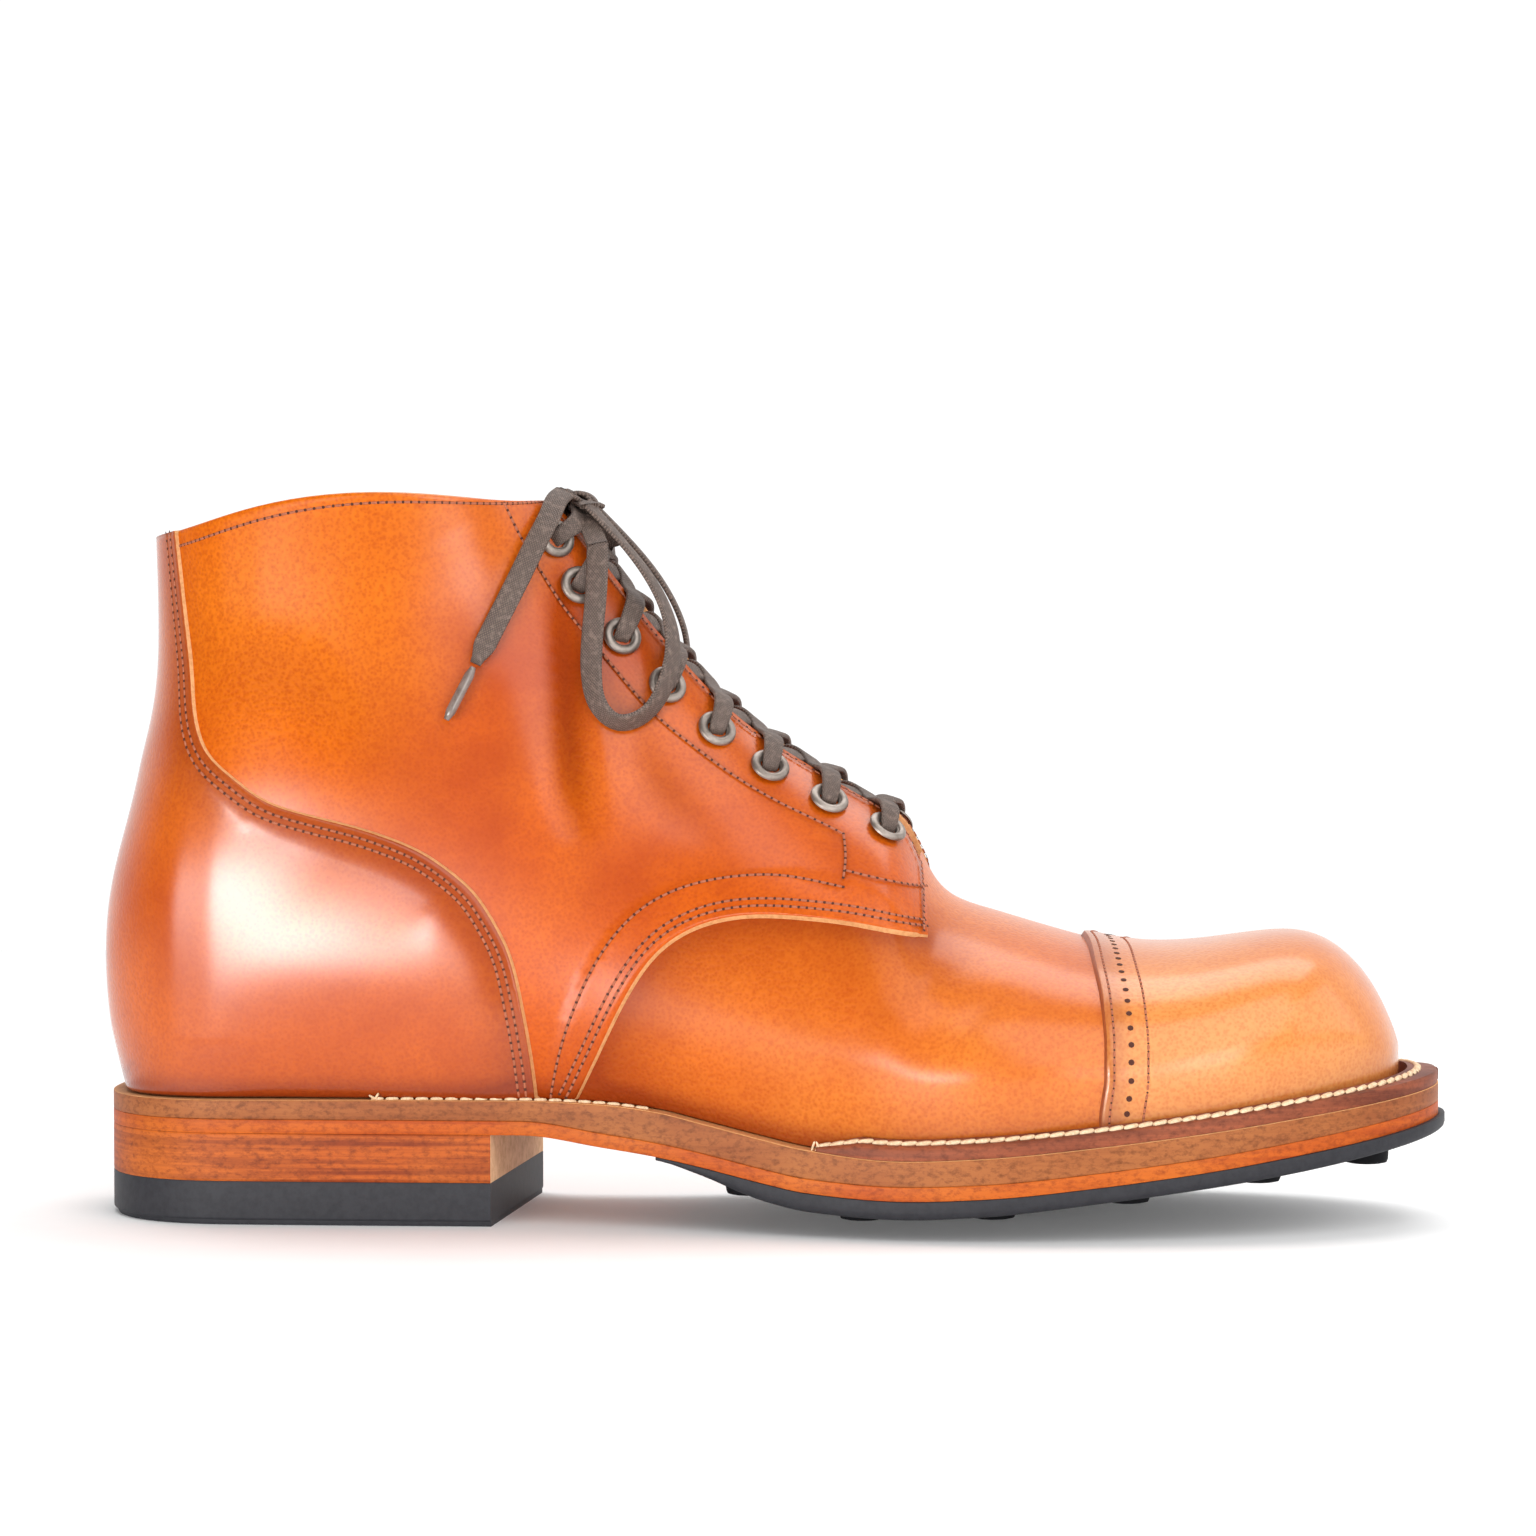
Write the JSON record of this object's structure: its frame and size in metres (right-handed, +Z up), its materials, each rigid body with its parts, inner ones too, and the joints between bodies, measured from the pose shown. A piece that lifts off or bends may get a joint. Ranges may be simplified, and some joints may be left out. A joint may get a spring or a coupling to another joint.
{
  "type": "service boot",
  "caption": "Ankle-high leather lace-up service boot for the right foot, cap toe, heel counter, eyelet facing tied in a bow, stacked leather sole with studded rubber half sole and block heel.",
  "frame": {"origin": "bottom centre of the boot's box without the bow, on the ground plane", "axes": "+X from heel to toe, +Y to the inner side of the right foot, +Z up"},
  "size_m": [0.3121, 0.106, 0.1689],
  "materials": {
    "leather": "glossy orange-tan, fine grain",
    "sole_leather": "waxed red-brown edge",
    "rubber": "matt black",
    "eyelet_metal": "antique grey brass",
    "lace": "waxed flat weave, grey brown",
    "aglet_plastic": "satin"
  },
  "bodies": {
    "root": {"aglet_in": "aglet_plastic", "aglet_out": "aglet_plastic", "eyelet_in_1": "eyelet_metal", "eyelet_in_2": "eyelet_metal", "eyelet_in_3": "eyelet_metal", "eyelet_in_4": "eyelet_metal", "eyelet_in_5": "eyelet_metal", "eyelet_in_6": "eyelet_metal", "eyelet_in_7": "eyelet_metal", "eyelet_in_8": "eyelet_metal", "eyelet_out_1": "eyelet_metal", "eyelet_out_2": "eyelet_metal", "eyelet_out_3": "eyelet_metal", "eyelet_out_4": "eyelet_metal", "eyelet_out_5": "eyelet_metal", "eyelet_out_6": "eyelet_metal", "eyelet_out_7": "eyelet_metal", "eyelet_out_8": "eyelet_metal", "heel_counter": "leather", "heel_lift_1": "sole_leather", "heel_lift_2": "sole_leather", "heel_lift_3": "sole_leather", "heel_top_piece": "rubber", "insole": "leather", "lace_cross_1": "lace", "lace_cross_2": "lace", "lace_cross_3": "lace", "lace_cross_4": "lace", "lace_cross_5": "lace", "lace_cross_6": "lace", "lace_cross_7": "lace", "lace_end_in": "lace", "lace_end_out": "lace", "lace_knot": "lace", "lace_loop_in": "lace", "lace_loop_out": "lace", "leather_sole": "sole_leather", "midsole": "sole_leather", "rubber_sole": "rubber", "toe_cap": "leather", "tongue": "leather", "upper": "leather", "welt": "sole_leather"}
  },
  "joints": []
}
